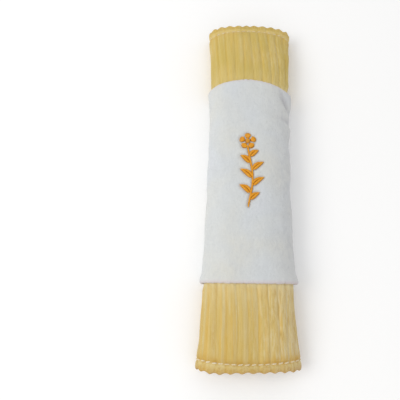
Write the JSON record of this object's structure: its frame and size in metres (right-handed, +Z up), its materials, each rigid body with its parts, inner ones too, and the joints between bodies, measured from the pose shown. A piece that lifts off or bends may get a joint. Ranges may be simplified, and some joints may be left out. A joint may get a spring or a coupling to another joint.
{
  "type": "seat belt shoulder pad",
  "caption": "Padded ribbed plush tube, closed underneath with hook-and-loop tape, with a plain plush band round its middle, that wraps a seat belt to soften it on the shoulder.",
  "frame": {"origin": "under the middle of the pad, on the surface that it lies on, closure side down", "axes": "+Y along the belt, the pad's length; +X across the belt; +Z up, out of the padded side that carries the embroidery"},
  "size_m": [0.0728, 0.27, 0.0322],
  "materials": {
    "ribbed_plush": "golden yellow wide-rib plush with a short soft pile",
    "white_plush": "off-white short-pile plush",
    "wadding": "white polyester wadding",
    "lining_cloth": "cream plain-weave polyester lining",
    "cream_thread": "cream sewing thread",
    "white_thread": "white sewing thread",
    "loop_pile_tape": "off-white brushed loop tape",
    "hook_tape": "off-white woven nylon tape with stiff hooks",
    "orange_thread": "glossy orange rayon embroidery thread, satin stitch"
  },
  "bodies": {
    "root": {"ribbed_cover": "ribbed_plush", "wadding": "wadding", "lining": "lining_cloth", "plush_band": "white_plush", "lower_hem_needle_thread": "cream_thread", "lower_hem_bobbin_thread": "cream_thread", "upper_hem_needle_thread": "cream_thread", "upper_hem_bobbin_thread": "cream_thread", "loop_tape": "loop_pile_tape", "loop_tape_thread": "cream_thread", "hook_tape": "hook_tape", "hook_tape_thread": "cream_thread", "embroidered_sprig": "orange_thread", "band_edge_thread": "white_thread"}
  },
  "joints": []
}
